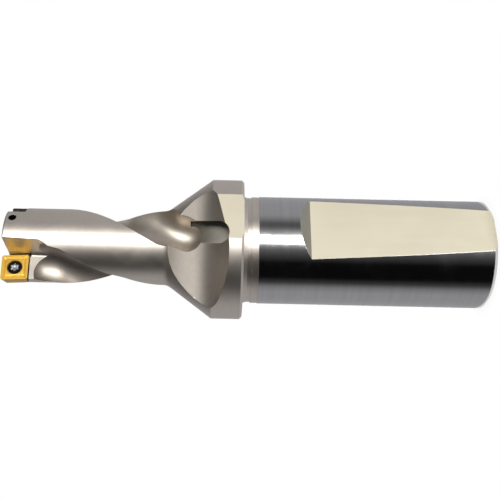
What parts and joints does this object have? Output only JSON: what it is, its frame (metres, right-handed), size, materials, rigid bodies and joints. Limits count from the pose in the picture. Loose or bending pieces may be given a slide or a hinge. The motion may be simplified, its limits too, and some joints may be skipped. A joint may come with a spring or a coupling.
{
  "type": "indexable drill",
  "caption": "Short indexable drill with a cylindrical shank, inclined clamping flat, flange, helical flutes and screwed square inserts.",
  "frame": {"origin": "centre of the shank's end face, on the tool's axis", "axes": "+Z along the axis, from the shank's end to the cutting end"},
  "size_m": [0.0324, 0.0324, 0.1118],
  "materials": {
    "body_steel": "satin nickel-like surface, ground on the shank",
    "coated_carbide": "gold coloured hard coating",
    "screw_steel": "blackened"
  },
  "bodies": {
    "root": {"drill_body": "body_steel", "peripheral_insert": "coated_carbide", "central_insert": "coated_carbide", "peripheral_insert_screw": "screw_steel", "central_insert_screw": "screw_steel"}
  },
  "joints": []
}
